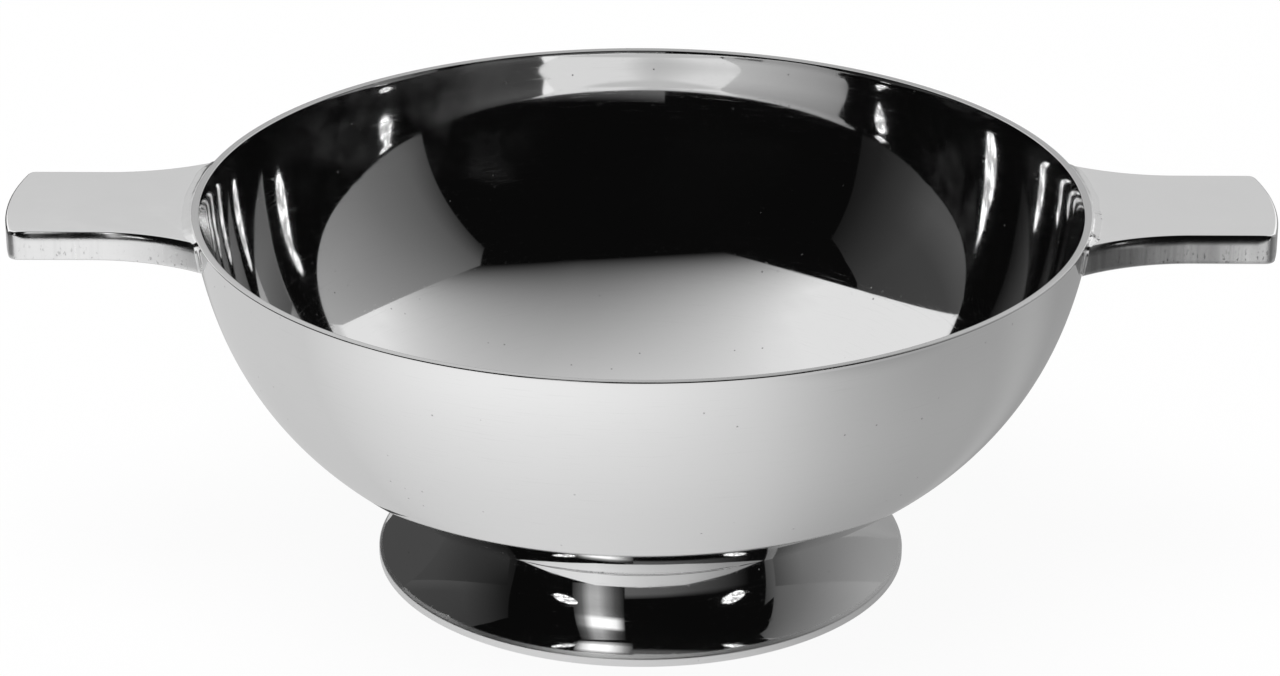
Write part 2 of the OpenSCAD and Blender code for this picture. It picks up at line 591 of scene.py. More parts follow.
@dataclass
class Bowl:
    """The spun bowl: a small flat, a round wall, a straighter brim and a dressed rim."""

    brim_r: float = 46.6 * MM
    brim_lean: float = math.radians(5.1)
    turn_lean: float = math.radians(19.4)
    wall: float = 1.0 * MM
    rim_edge: float = 0.15 * MM
    soft_h: float = 2.4 * MM
    soft_lean: float = math.radians(9.0)
    soft_steps: int = 28
    soft_back: float = 0.58
    back_from: float = 0.78
    back_run: float = 0.16
    flat_run: float = 0.6 * MM
    outer_turn: float = 0.2
    inner_turn: float = 0.35
    segments: int = 360
    wall_steps: int = 80
    brim_steps: int = 40
    edge_steps: int = 5
    rim_steps: int = 4
    floor_steps: int = 6
    floor_z: float = field(init=False)
    rim_z: float = field(init=False)
    rim_r: float = field(init=False)
    wall_r: float = field(init=False)
    brim_mid: Point = field(init=False)
    wall_mid: Point = field(init=False)

    def __post_init__(self) -> None:
        """Take the heights and the width from the frame, and place the two arcs of the wall."""
        low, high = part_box("bowl")
        self.floor_z, self.rim_z, self.rim_r = low.z, high.z, min(high.x, high.y)
        lean, turn = self.brim_lean, self.turn_lean
        self.brim_mid = (
            self.rim_r - self.brim_r * math.cos(lean),
            self.rim_z + self.brim_r * math.sin(lean),
        )
        turn_r = self.brim_mid[0] + self.brim_r * math.cos(turn)
        turn_z = self.brim_mid[1] - self.brim_r * math.sin(turn)
        self.wall_r = (turn_z - self.floor_z) / (1 - math.sin(turn))
        self.wall_mid = (turn_r - self.wall_r * math.cos(turn), self.floor_z + self.wall_r)

    def radius(self, z: float, grow: float = 0.0) -> float:
        """Give the outer radius of the brim.

        Args:
            z: the height.
            grow: metres outside the wall.

        Returns:
            The radius there.
        """
        return self.brim_mid[0] + math.sqrt((self.brim_r + grow) ** 2 - (z - self.brim_mid[1]) ** 2)

    def under(self, r: float) -> float:
        """Give the height of the underside.

        Args:
            r: the distance from the axis.

        Returns:
            The height there.
        """
        return self.wall_mid[1] - math.sqrt(self.wall_r**2 - max(0.0, r - self.wall_mid[0]) ** 2)

    def side(self, grow: float, top: float) -> list[Point]:
        """Give one side of the wall, up from the flat.

        Args:
            grow: metres outside the wall.
            top: the height that it ends at.

        Returns:
            The points.
        """
        brim_r = self.brim_r + grow
        end = math.asin((top - self.brim_mid[1]) / brim_r)
        wall = arc(self.wall_mid, self.wall_r + grow, -math.pi / 2, -self.turn_lean, self.wall_steps)
        return [*wall, *arc(self.brim_mid, brim_r, -self.turn_lean, end, self.brim_steps)[1:]]

    def inside(self) -> list[Point]:
        """Give the inner side, which polishing has eased outwards below the rim."""
        points = self.side(-self.wall, self.rim_z - self.soft_h)
        r, z = points[-1]
        step = (self.soft_h - self.rim_edge) / self.soft_steps
        for i in range(self.soft_steps):
            share = (i + 0.5) / self.soft_steps
            lean = math.asin((self.brim_mid[1] - z) / (self.brim_r - self.wall))
            r, z = r + step * math.tan(lean + self.soft_lean * share**2), z + step
            points.append((r, z))
        return points

    def section(self) -> list[Point]:
        """Give the section, from the axis below to the axis above."""
        edge, top = self.rim_edge, self.rim_z
        outer, inner = self.side(0.0, top - edge), self.inside()[::-1]
        up, steps = math.pi / 2, self.edge_steps
        turn_out = arc((self.rim_r - edge, top - edge), edge, self.outer_turn, up, steps)
        turn_in = arc((inner[0][0] + edge, top - edge), edge, up, math.pi - self.inner_turn, steps)
        under, floor = (0.0, self.floor_z), (0.0, self.floor_z + self.wall)
        return [
            under,
            *line(under, outer[0], self.floor_steps),
            *outer,
            *turn_out,
            *line(turn_out[-1], turn_in[0], self.rim_steps),
            *turn_in,
            *inner,
            *line(inner[-1], floor, self.floor_steps),
            floor,
        ]

    def ease_back(self, piece: bpy.types.Object) -> None:
        """Leave the inner edge sharper behind, where the polishing eased it less.

        Args:
            piece: the bowl.
        """
        eased = self.inside()[-self.soft_steps :]
        plain = [self.radius(z, -self.wall) for _, z in eased]
        edge = eased[-1][0]
        for vert in piece.data.vertices:
            x, y, z = vert.co
            r = math.hypot(x, y)
            if z < eased[0][1] - NEARLY or r > edge + self.flat_run:
                continue
            step = min(range(len(eased)), key=lambda i: abs(eased[i][1] - z))
            less = (1.0 - self.soft_back) * smooth((y / r - self.back_from) / self.back_run)
            fade = min(1.0, 1.0 - (r - edge) / self.flat_run)
            back = (eased[step][0] - plain[step]) * less * fade
            vert.co.x, vert.co.y = x * (1.0 - back / r), y * (1.0 - back / r)

    def build(self, finish: SpunPolish) -> bpy.types.Object:
        """Make and dress the bowl.

        Args:
            finish: its polish.

        Returns:
            The piece.
        """
        piece = spin("spun_bowl", self.section(), self.segments)
        self.ease_back(piece)
        wear(piece, finish.material(), "bowl")
        return piece


@dataclass
class Foot:
    """The spun trumpet foot, with a turned lip, and the solder at its neck."""

    neck_r: float = 25.6 * MM
    flare_r: float = 16.5 * MM
    wall: float = 1.0 * MM
    lip_side: float = 0.9 * MM
    lip_w: float = 1.8 * MM
    lip_edge: float = 0.3 * MM
    lip_round: float = 0.35 * MM
    base_edge: float = 0.12 * MM
    fillet: float = 0.75 * MM
    segments: int = 320
    flare_steps: int = 60
    lip_steps: int = 8
    edge_steps: int = 4
    back_steps: int = 3
    fillet_steps: int = 12
    under_steps: int = 16
    height: float = field(init=False)
    lip_r: float = field(init=False)

    def __post_init__(self) -> None:
        """Take the height and the width from the frame."""
        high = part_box("foot")[1]
        self.height, self.lip_r = high.z, high.x

    @property
    def flare_mid(self) -> Point:
        """Centre of the hollow flare, from the neck to the top of the lip."""
        top = Vector((self.neck_r, self.height))
        end = Vector((self.lip_r - self.lip_edge, self.lip_side + self.lip_edge))
        chord = end - top
        bow = math.sqrt(self.flare_r**2 - (chord.length / 2) ** 2)
        mid = (top + end) / 2 + bow * Vector((-chord.y, chord.x)).normalized()
        return mid.x, mid.y

    def section(self) -> list[Point]:
        """Give the closed section of the foot."""
        mid, lip = self.flare_mid, self.lip_round
        inside = self.flare_r + self.wall
        neck_turn = math.atan2(self.height - mid[1], self.neck_r - mid[0]) % (2 * math.pi)
        lip_x = self.lip_r - lip
        lip_z = mid[1] - math.sqrt((self.flare_r + lip) ** 2 - (mid[0] - lip_x) ** 2)
        lip_turn = math.atan2(lip_z - mid[1], lip_x - mid[0])
        flare = arc(mid, self.flare_r, neck_turn, lip_turn % (2 * math.pi), self.flare_steps)
        back_x = self.lip_r - self.lip_w
        start = -math.acos((back_x - mid[0]) / inside) % (2 * math.pi)
        neck_in = (math.pi - math.asin((self.height - mid[1]) / inside)) % (2 * math.pi)
        hollow = arc(mid, inside, start, neck_in, self.flare_steps)
        edge, steps = self.base_edge, self.edge_steps
        round_lip = arc((lip_x, lip_z), lip, lip_turn + math.pi, 0.0, self.lip_steps)
        base_out = arc((self.lip_r - edge, edge), edge, 0.0, -math.pi / 2, steps)
        base_in = arc((back_x + edge, edge), edge, -math.pi / 2, -math.pi, steps)
        return [
            *flare,
            *round_lip[1:],
            *line(round_lip[-1], base_out[0], steps),
            *base_out,
            *line(base_out[-1], base_in[0], steps),
            *base_in,
            *line(base_in[-1], hollow[0], self.back_steps),
            *hollow,
            *line(hollow[-1], flare[0], steps),
        ]

    def build(self, finish: SpunPolish) -> bpy.types.Object:
        """Make and dress the foot.

        Args:
            finish: its polish.

        Returns:
            The piece.
        """
        piece = spin("spun_foot", self.section(), self.segments)
        wear(piece, finish.material(), "foot")
        return piece

    def build_solder(self, bowl: Bowl, finish: SolderMetal) -> bpy.types.Object:
        """Make and dress the ring of solder between the neck and the bowl.

        Args:
            bowl: the bowl that it meets.
            finish: its metal.

        Returns:
            The piece.
        """
        low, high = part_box("foot_solder")
        neck_in = math.sqrt((self.flare_r + self.wall) ** 2 - (self.height - self.flare_mid[1]) ** 2)
        inner_r = self.flare_mid[0] - neck_in
        mid = (self.neck_r + self.fillet, self.height)
        fillet = arc(mid, self.fillet, math.pi, math.pi / 2, self.fillet_steps)
        face = [(r, z) for r, z in fillet if z < bowl.under(r)]
        under = []
        for i in range(self.under_steps + 1):
            r = high.x - (high.x - inner_r) * i / self.under_steps
            under.append((r, min(bowl.under(r), high.z)))
        section = [(inner_r, low.z), (self.neck_r, low.z), *face[1:], *under]
        piece = spin("foot_solder_ring", section, self.segments)
        wear(piece, finish.material(), "foot_solder")
        return piece


@dataclass
class Lug:
    """A cast lug, coped to the bowl at its root, and the solder that holds it."""

    side: Side
    bowl: Bowl
    width: float = 19.0 * MM
    root_w: float = 26.2 * MM
    flare_r: float = 23.0 * MM
    tip_r: float = 36.0 * MM
    corner_r: float = 1.2 * MM
    edge_r: float = 2.0 * MM
    edge_turn: float = math.radians(33)
    nick: float = 0.05 * MM
    tip_edge: float = 0.45 * MM
    under_edge: float = 0.2 * MM
    film: float = 0.2 * MM
    bead: float = 0.15 * MM
    top_rise: float = 0.4 * MM
    top_run: float = 0.9 * MM
    lid: float = 0.3 * MM
    tip_from: float = 3.2 * MM
    tip_run: float = 1.6 * MM
    seam_in: float = 0.1 * MM
    seam_top_r: float = 0.4 * MM
    seam_low_r: float = 0.3 * MM
    seam_step: float = 0.3 * MM
    seam_fade: float = 2.5 * MM
    seam_most: float = 1.05
    seam_seed: float = 4.0
    flare_steps: int = 32
    corner_steps: int = 10
    straight_steps: int = 16
    tip_steps: int = 40
    root_steps: int = 48
    under_steps: int = 4
    side_steps: int = 6
    edge_steps: int = 14
    seam_steps: int = 6
    low_z: float = field(init=False)
    top_z: float = field(init=False)
    reach: float = field(init=False)

    def __post_init__(self) -> None:
        """Take the heights and the reach from the frame."""
        low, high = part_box(f"lug_{self.word}")
        self.low_z, self.top_z = low.z, high.z
        self.reach = max(abs(low.x), abs(high.x))

    @property
    def word(self) -> str:
        """Name of the side."""
        return self.side.name.lower()

    def outline(self, inset: float, tip_inset: float, root_r: float) -> list[Point]:
        """Give the outline at one level, for a lug along +X.

        Args:
            inset: how far its sides are drawn in.
            tip_inset: how far its tip is drawn in.
            root_r: the radius that its root is coped to.

        Returns:
            The points, once round.
        """
        half, root_half = self.width / 2, self.root_w / 2
        turn = math.acos(1 - (root_half - half) / self.flare_r)
        root_x = math.sqrt(self.bowl.rim_r**2 - root_half**2)
        mid = Vector((root_x + self.flare_r * math.sin(turn), half + self.flare_r))
        r = self.flare_r + inset
        spread = math.acos((mid.length**2 + r**2 - root_r**2) / (2 * mid.length * r))
        start = math.atan2(mid.y, mid.x) - math.pi + spread
        flare = arc((mid.x, mid.y), r, start, -math.pi / 2, self.flare_steps)
        tip_x = self.reach - self.tip_r
        corner_y = half - self.corner_r
        corner_x = tip_x + math.sqrt((self.tip_r - self.corner_r) ** 2 - corner_y**2)
        bend = math.atan2(corner_y, corner_x - tip_x)
        corner = []
        steps = self.corner_steps
        for i, (x, y) in enumerate(arc((0.0, 0.0), 1.0, math.pi / 2, bend, steps)):
            r = self.corner_r - inset - (tip_inset - inset) * i / steps
            corner.append((corner_x + r * x, corner_y + r * y))
        straight = line(flare[-1], corner[0], self.straight_steps)
        tip = arc((tip_x, 0.0), self.tip_r - tip_inset, bend, -bend, self.tip_steps)
        half_way = [*flare, *straight, *corner]
        root_turn = math.atan2(flare[0][1], flare[0][0])
        root = arc((0.0, 0.0), root_r, -root_turn, root_turn, self.root_steps)
        return [*half_way, *tip[1:-1], *((x, -y) for x, y in reversed(half_way)), *root[1:-1]]

    def ring(self, inset: float, tip_inset: float, z: float, tip_z: float) -> Ring:
        """Give one ring of the lug.

        Args:
            inset: how far its sides are drawn in.
            tip_inset: how far its tip is drawn in.
            z: the height of its sides.
            tip_z: the height of its tip.

        Returns:
            The points, once round.
        """
        root_r = self.bowl.radius(z) + self.film
        ring = []
        for x, y in self.outline(inset, tip_inset, root_r):
            share = smooth((x - self.reach + self.tip_from) / self.tip_run)
            ring.append(Vector((self.side.value * x, y, z + (tip_z - z) * share)))
        return ring

    def build(self, finish: FiledMetal) -> bpy.types.Object:
        """Make and dress the lug.

        Args:
            finish: its metal.

        Returns:
            The piece.
        """
        low, top, lid = self.low_z, self.top_z, self.lid
        rings = [self.ring(self.under_edge + lid, self.under_edge + lid, low, low)]
        for i in range(self.under_steps + 1):
            a = math.pi / 2 * i / self.under_steps
            inset, rise = self.under_edge * (1 - math.sin(a)), self.under_edge * (1 - math.cos(a))
            rings.append(self.ring(inset, inset, low + rise, low + rise))
        side = top - self.nick - self.edge_r * math.sin(self.edge_turn)
        start, tip = low + self.under_edge, top - self.tip_edge
        for i in range(1, self.side_steps):
            z = start + (side - start) * i / self.side_steps
            rings.append(self.ring(0.0, 0.0, z, start + (tip - start) * i / self.side_steps))
        for i in range(self.edge_steps + 1):
            a, b = self.edge_turn * i / self.edge_steps, math.pi / 2 * i / self.edge_steps
            inset, tip_inset = self.edge_r * (1 - math.cos(a)), self.tip_edge * (1 - math.cos(b))
            z, tip_z = side + self.edge_r * math.sin(a), tip + self.tip_edge * math.sin(b)
            rings.append(self.ring(inset, tip_inset, z, tip_z))
        for more in (self.nick, 2 * self.nick, lid):
            rings.append(self.ring(inset + more, tip_inset + more, top, top))
        piece = loft(f"cast_lug_{self.word}", rings)
        wear(piece, finish.material(), f"lug_{self.word}")
        return piece

    def seam_path(self) -> list[tuple[Vector, Vector]]:
        """Give the path of the seam round the root.

        Returns:
            Places on the wall, as the way round it and the height, each with its outward way.
        """
        high, low = self.seam_top_r, self.seam_low_r
        half = self.root_w / 2 - self.seam_in
        corners = (
            (half - high, self.top_z - high, high, 0.0),
            (high - half, self.top_z - high, high, math.pi / 2),
            (low - half, self.low_z + low, low, math.pi),
            (half - low, self.low_z + low, low, 3 * math.pi / 2),
        )
        path: list[tuple[Vector, Vector]] = []
        for x, z, r, start in corners:
            for i in range(self.seam_steps + 1):
                a = start + math.pi / 2 * i / self.seam_steps
                way = Vector((math.cos(a), math.sin(a)))
                path.append((Vector((x, z)) + r * way, way))
        dense: list[tuple[Vector, Vector]] = []
        for (place, way), (next_place, next_way) in zip(path, path[1:] + path[:1]):
            steps = max(1, round((next_place - place).length / self.seam_step))
            for i in range(steps):
                dense.append((place.lerp(next_place, i / steps), way.lerp(next_way, i / steps)))
        return dense

    def build_seam(self, finish: SolderMetal) -> bpy.types.Object:
        """Make and dress the uneven bead of solder round the root.

        Args:
            finish: its metal.

        Returns:
            The piece.
        """
        work = bmesh.new()
        sections = []
        for (across, z), (way_x, way_z) in self.seam_path():
            place = Vector((across, z, self.seam_seed * self.side.value)) / MM
            uneven = 1.0 + sum(share * noise.noise(place * scale) for share, scale in SEAM_WAVES)
            on_top = max(0.0, way_z) * min(1.0, (self.root_w / 2 - abs(across)) / self.seam_fade)
            rise = (self.bead + (self.top_rise - self.bead) * on_top) * min(uneven, self.seam_most)
            run = self.film + (self.bead + (self.top_run - self.bead) * on_top) * uneven
            section = []
            for out, proud in SEAM_PROFILE:
                height = z + way_z * rise * out
                turn = (across + way_x * rise * out) / self.bowl.rim_r
                r = self.bowl.radius(height) + run * proud
                x, y = self.side.value * r * math.cos(turn), r * math.sin(turn)
                section.append(work.verts.new((x, y, height)))
            sections.append(section)
        for one, two in zip(sections, sections[1:] + sections[:1]):
            for i in range(len(SEAM_PROFILE)):
                j = (i + 1) % len(SEAM_PROFILE)
                work.faces.new((one[i], one[j], two[j], two[i]))
        piece = mesh_object(f"lug_seam_{self.word}", work)
        wear(piece, finish.material(), f"lug_solder_{self.word}")
        return piece


def stepped(corners: Corners, steps: int) -> list[Vector]:
    """Set even steps between corners.

    Args:
        corners: the corners in order.
        steps: the number of steps from one corner to the next.

    Returns:
        The corners with the steps between them.
    """
    ends = [Vector(corner) for corner in corners]
    between = [a.lerp(b, i / steps) for a, b in zip(ends, ends[1:]) for i in range(steps)]
    return [*between, ends[-1]]


def sky(distance: float, corners: Corners, steps: int = 8) -> Rail:
    """Give a rail of corners by their directions from the middle of the bowl.

    Args:
        distance: millimetres from the bowl.
        corners: degrees clockwise from behind the bowl, degrees above the level, and the grey there.
        steps: the number of steps from one corner to the next.

    Returns:
        The corners, in millimetres, each with its grey.
    """
    rail = []
    for turn, rise, grey in stepped(corners, steps):
        turn, rise = math.radians(turn), math.radians(rise)
        flat, up = distance * math.cos(rise), distance * math.sin(rise)
        rail.append((flat * math.sin(turn), flat * math.cos(turn), BOWL_MID + up, grey))
    return tuple(rail)


def upright(distance: float, corners: Corners, steps: int = 8) -> Rail:
    """Give a rail that follows a circle about the bowl.

    Args:
        distance: millimetres from the bowl's axis.
        corners: degrees clockwise from behind the bowl, millimetres above the table, and the grey there.
        steps: the number of steps from one corner to the next.

    Returns:
        The corners, in millimetres, each with its grey.
    """
    rail = []
    for turn, high, grey in stepped(corners, steps):
        turn = math.radians(turn)
        rail.append((distance * math.sin(turn), distance * math.cos(turn), high, grey))
    return tuple(rail)


def rails(
    place: Callable[..., Rail], distance: float, turns: Row, *rows: tuple[float | Row, Row]
) -> tuple[Rail, ...]:
    """Give rails whose corners are at the same turns.

    Args:
        place: sky or upright.
        distance: millimetres from the bowl.
        turns: degrees clockwise from behind the bowl.
        *rows: the height of a rail, or the height of each of its corners, and the grey of each.

    Returns:
        The rails, from the lowest up.
    """
    made = []
    for height, greys in rows:
        heights = height if isinstance(height, tuple) else (height,) * len(turns)
        made.append(place(distance, tuple(zip(turns, heights, greys))))
    return tuple(made)


@dataclass(frozen=True)
class Card:
    """A card, panel or drape of the studio, skinned between rails of as many corners each."""

    name: str
    rails: tuple[Rail, ...]
    steps: int = 6
    seen: Seen = Seen.ALWAYS

    def build(self, material: bpy.types.Material) -> bpy.types.Object:
        """Hang the card where only reflections show it.

        Args:
            material: a glow that reads the grey of each corner.

        Returns:
            The card.
        """
        work = bmesh.new()
        rows, greys = [], []
        for low, high in zip(self.rails, self.rails[1:]):
            for k in range(self.steps + 1):
                corners = [Vector(a).lerp(Vector(b), k / self.steps) for a, b in zip(low, high)]
                rows.append([work.verts.new(c.xyz * MM) for c in corners])
                greys += [c.w for c in corners]
        for under, over in zip(rows, rows[1:]):
            for i in range(len(under) - 1):
                work.faces.new((under[i], under[i + 1], over[i + 1], over[i]))
        card = mesh_object(self.name, work)
        layer = card.data.color_attributes.new("grey", "FLOAT_COLOR", "POINT")
        for point, grey in zip(layer.data, greys):
            point.color = (grey, grey, grey, 1.0)
        card.data.materials.append(material)
        only_reflected(card)
        return card


def only_reflected(piece: bpy.types.Object) -> None:
    """Set a stage piece to show in reflections alone."""
    piece.visible_camera = piece.visible_diffuse = piece.visible_shadow = False
    piece.visible_transmission = piece.visible_volume_scatter = False


@dataclass
class Studio:
    """Table, white background, dark room, cards, lamps and the camera."""

    eye: tuple[float, float, float] = (-0.15 * MM, -458.4 * MM, 226.1 * MM)
    tilt: float = math.radians(23.524)
    roll: float = math.radians(0.19)
    lens: float = 122.147
    sensor: float = 36.0
    clip: Point = (0.01, 50.0)
    lamps: tuple[tuple[float, ...], ...] = (
        (-332 * MM, -451 * MM, 253 * MM, 63 * MM, 27 * MM, math.radians(-25)),
        (1079 * MM, -1042 * MM, 658 * MM, 170 * MM, 92 * MM, math.radians(32)),
    )
    lamp_power: float = 2.4
    soft_place: tuple[float, float, float] = (-0.2, -0.2, 1.5)
    soft_size: float = 1.2
    soft_power: float = 14.0
    table_half: float = 2.0
    table_glow: float = 0.93
    # The way from the bowl towards the painted pool of light on the table.
    table_light: Point = (-0.407, -0.914)

    def place_camera(self) -> bpy.types.Object:
        """Set the camera where the photo was taken from.

        Returns:
            The camera.
        """
        data = bpy.data.cameras.new("camera")
        data.lens, data.sensor_width, data.sensor_fit = self.lens, self.sensor, "HORIZONTAL"
        data.clip_start, data.clip_end = self.clip
        camera = bpy.data.objects.new("camera", data)
        look = Vector((0.0, math.cos(self.tilt), -math.sin(self.tilt)))
        up = Vector((0.0, math.sin(self.tilt), math.cos(self.tilt)))
        right = Vector((1.0, 0.0, 0.0))
        turned_right = math.cos(self.roll) * right + math.sin(self.roll) * up
        turned_up = math.cos(self.roll) * up - math.sin(self.roll) * right
        turned = Matrix((turned_right, turned_up, -look)).transposed().to_4x4()
        camera.matrix_world = Matrix.Translation(self.eye) @ turned
        bpy.context.scene.collection.objects.link(camera)
        bpy.context.scene.camera = camera
        return camera

    def table_painted_light(self, sheet: NodeSheet) -> Wire:
        """Give the painted light and shade of the table as reflections show it, lightest at the front
        left.

        Args:
            sheet: the nodes of the table.

        Returns:
            The grey of each place.
        """
        x, y, _ = sheet.axes(sheet.place())
        reach = ((x * x + y * y) ** 0.5).at_least(MM)
        across, back = x / reach, y / reach
        # Painted light: a pool of light from the front left, dimmer close to the bowl, with a lighter
        # floor of grey at the left.
        lit = ((x * self.table_light[0] + y * self.table_light[1]) / reach).at_least(0.0)
        far = reach.eased(40 * MM, 110 * MM)
        left = across.eased(-0.5, -0.8)
        grey = (0.42 - 0.06 * far + (0.29 + 0.25 * far) * lit**1.6).at_least(left * 0.6)
        # Painted shade: darker far to the right, behind to the right and near to the right.
        far_right_painted_shade = (x * 0.75 + y * -0.66).eased(100 * MM, 135 * MM)
        back_right_painted_shade = back.eased(0.1, 0.4) * across.eased(0.1, 0.5)
        near_right_painted_shade = across.eased(0.35, 0.75) * back.eased(0.1, -0.15)
        grey = grey * (1 - 0.8 * far_right_painted_shade) * (1 - 0.22 * back_right_painted_shade) * (1 - 0.13 * near_right_painted_shade)
        # Painted light: a lighter band across the front.
        front = reach.eased(119 * MM, 128 * MM) * back.eased(-0.6, -0.72)
        return grey + front * (0.97 - 0.1 * across.eased(-0.2, 0.2) - grey)

    def lay_table(self) -> bpy.types.Object:
        """Lay the table, which the camera sees white and reflections show with painted light and shade.

        Returns:
            The table.
        """
        work = bmesh.new()
        bmesh.ops.create_grid(work, x_segments=1, y_segments=1, size=self.table_half)
        table = mesh_object("table", work)
        material, sheet = new_material("white_table")
        camera = sheet.node("ShaderNodeLightPath", output="Is Camera Ray")
        # Camera rays see the table white; reflections see its painted light and shade.
        tone = sheet.shade(self.table_painted_light(sheet).at_least(camera), 0.0, 1.0)
        glow = sheet.node("ShaderNodeEmission", inputs={0: tone, 1: 1.0})
        cloth = sheet.node("ShaderNodeBsdfDiffuse", inputs={0: (0.9, 0.9, 0.9, 1)})
        sheet.end(sheet.node("ShaderNodeMixShader", inputs={0: self.table_glow, 1: cloth, 2: glow}))
        table.data.materials.append(material)
        return table

    def light_world(self) -> None:
        """Set the white background and the plain light that falls on the table."""
        world = bpy.data.worlds.new("white")
        bpy.context.scene.world = world
        world.use_nodes = True
        sheet = NodeSheet(world.node_tree)
        path = sheet.node("ShaderNodeLightPath", output="Is Camera Ray")
        seen = path.at_least(path.out("Is Glossy Ray")).at_least(path.out("Is Transmission Ray"))
        tone = sheet.shade(seen * 0.4 + 0.6, 0.0, 1.0)
        sheet.end(sheet.node("ShaderNodeBackground", inputs={0: tone, 1: 1.0}), True)
        light = bpy.data.lights.new("soft_box", "AREA")
        light.shape, light.size, light.energy = "DISK", self.soft_size, self.soft_power
        box = bpy.data.objects.new("soft_box", light)
        box.location = self.soft_place
        box.visible_glossy = False
        bpy.context.scene.collection.objects.link(box)

    def glow(self, seen: Seen) -> bpy.types.Material:
        """Make the glow of the cards, which reads the grey of each corner.

        Args:
            seen: the reflections that show it. The card is clear in the others.

        Returns:
            The material.
        """
        material, sheet = new_material(f"card_glow_{seen.value}")
        grey = sheet.node("ShaderNodeAttribute", {"attribute_name": "grey"}, output="Color")
        shader = sheet.node("ShaderNodeEmission", inputs={0: grey, 1: 1.0})
        if seen is not Seen.ALWAYS:
            later = sheet.node("ShaderNodeLightPath", output="Ray Depth").eased(1.4, 1.6)
            shown = later if seen is Seen.LATER else 1 - later
            clear = sheet.node("ShaderNodeBsdfTransparent")
            shader = sheet.node("ShaderNodeMixShader", inputs={0: shown, 1: clear, 2: shader})
        sheet.end(shader)
        return material

    def set_lamps(self) -> None:
        """Set the two oval lamps at the front."""
        material, sheet = new_material("lamp_glow")
        across = sheet.node("ShaderNodeTexCoord", output="Generated")
        mottle = sheet.grain(across, 5.0, 3.0, 0.7).eased(0.42, 0.66)
        tone = sheet.shade(mottle, 0.18, 1.0)
        sheet.end(sheet.node("ShaderNodeEmission", inputs={0: tone, 1: self.lamp_power}))
        for i, (*place, long, short, turn) in enumerate(self.lamps):
            work = bmesh.new()
            bmesh.ops.create_circle(work, cap_ends=True, segments=48, radius=1.0)
            oval = Matrix.Rotation(turn, 4, "Z") @ Matrix.Diagonal((long, short, 1.0, 1.0))
            bmesh.ops.transform(work, matrix=oval, verts=work.verts[:])
            lamp = mesh_object(f"lamp_{i + 1}", work)
            aim = Vector((0.0, 0.0, BOWL_MID * MM)) - Vector(place)
            aimed = aim.to_track_quat("Z", "Y").to_matrix().to_4x4()
            lamp.matrix_world = Matrix.Translation(place) @ aimed
            lamp.data.materials.append(material)
            only_reflected(lamp)

    def hang_cards(self) -> None:
        """Hang the room, the low cards, the strip light, the flags and the lamps."""
        glows = {seen: self.glow(seen) for seen in Seen}
        for card in (*room(), *low_cards(), *strip_light(), *flags()):
            card.build(glows[card.seen])
            LOG.info("%s hung", card.name)
        self.set_lamps()


def bend(start: Point, pull: Point, end: Point, share: float) -> Vector:
    """Give a point on a bent edge.

    Args:
        start: one end.
        pull: the point that pulls it out of line.
        end: the other end.
        share: how far along it is.

    Returns:
        The point.
    """
    return Vector(start).lerp(Vector(pull), share).lerp(Vector(pull).lerp(Vector(end), share), share)


def white_sheet() -> Card:
    """Give the sheet that leans over from behind: light at its left, and falling off to its front."""
    shares = (0.0, 0.02, 0.05, 0.1, 0.16, 0.24, 0.34, 0.44, 0.54, 0.64, 0.74, 0.84, 0.92, 1.0)
    left_edge = ((-49, -43), (-114, 18), (-142, 136))
    right_edge = ((93, -8), (117, 46), (121, 124))
    columns, bow, back_y = 20, 42, 240
    middle, light = 0.593, 0.82
    rows: list[Rail] = []
    for share in shares:
        left, right = bend(*left_edge, share), bend(*right_edge, share)
        rail = []
        for i in range(columns + 1):
            across = i / columns
            x, y = left.lerp(right, across)
            y -= bow * across * (1 - across) * (1 - share)
            height = 163 - 0.33 * y - 0.0006 * y * y
            to_left, to_right = max(0.0, middle - across), max(0.0, across - middle)
            full = 0.638 + 4.978 * to_left**1.5 + 2.59 * to_right**1.5
            fall = 0.849 + 0.888 * to_left + 1.306 * to_right
            rail.append((x, y, height, min(light, full * share**fall)))
        rows.append(tuple(rail))
    edge = rows[-1]
    for drop, grey in ((0.04, 0.6), (0.3, 0.6), (1.0, 0.55)):
        wide, left_over = 1 + 0.2 * drop, 1 - drop
        rows.append(tuple((x * wide, y + (back_y - y) * drop, z * left_over, grey) for x, y, z, _ in edge))
    return Card("white_sheet", tuple(rows), steps=1)


def right_panels() -> tuple[Card, ...]:
    """Give the right panel as first reflections show it, and as later ones do, with a flag before it."""
    turns = (42, 57, 74, 96, 110, 117)
    again = (0.6, 0.53, 0.46, 0.37, 0.3, 0.2)
    rises = ((-3, 0.7), (17, 0.76), (25, 1.0), (58, 1.0))
    later = tuple((rise, tuple(grey * share for grey in again)) for rise, share in rises)
    flag_x, front_y, back_y, front_share = 60, 16.8, 42, 0.8
    flag_rows = ((46, 0.15), (60, 0.17), (74.5, 0.11))
    flag = tuple(
        ((flag_x, front_y, z, front_share * grey), (flag_x, back_y, z, grey)) for z, grey in flag_rows
    )
    first = rails(
        sky,
        PANEL_AWAY,
        turns,
        (-3, (0.34, 0.28, 0.22, 0.16, 0.11, 0.07)),
        (20, (0.4, 0.37, 0.28, 0.16, 0.11, 0.05)),
        ((60, 60, 60, 56, 50, 46.4), (0.4, 0.38, 0.26, 0.17, 0.09, 0.02)),
    )
    return (
        Card("right_panel", first, seen=Seen.FIRST),
        Card("right_panel_again", rails(sky, PANEL_AWAY, turns, *later), seen=Seen.LATER),
        Card("right_flag_again", flag, seen=Seen.LATER),
    )


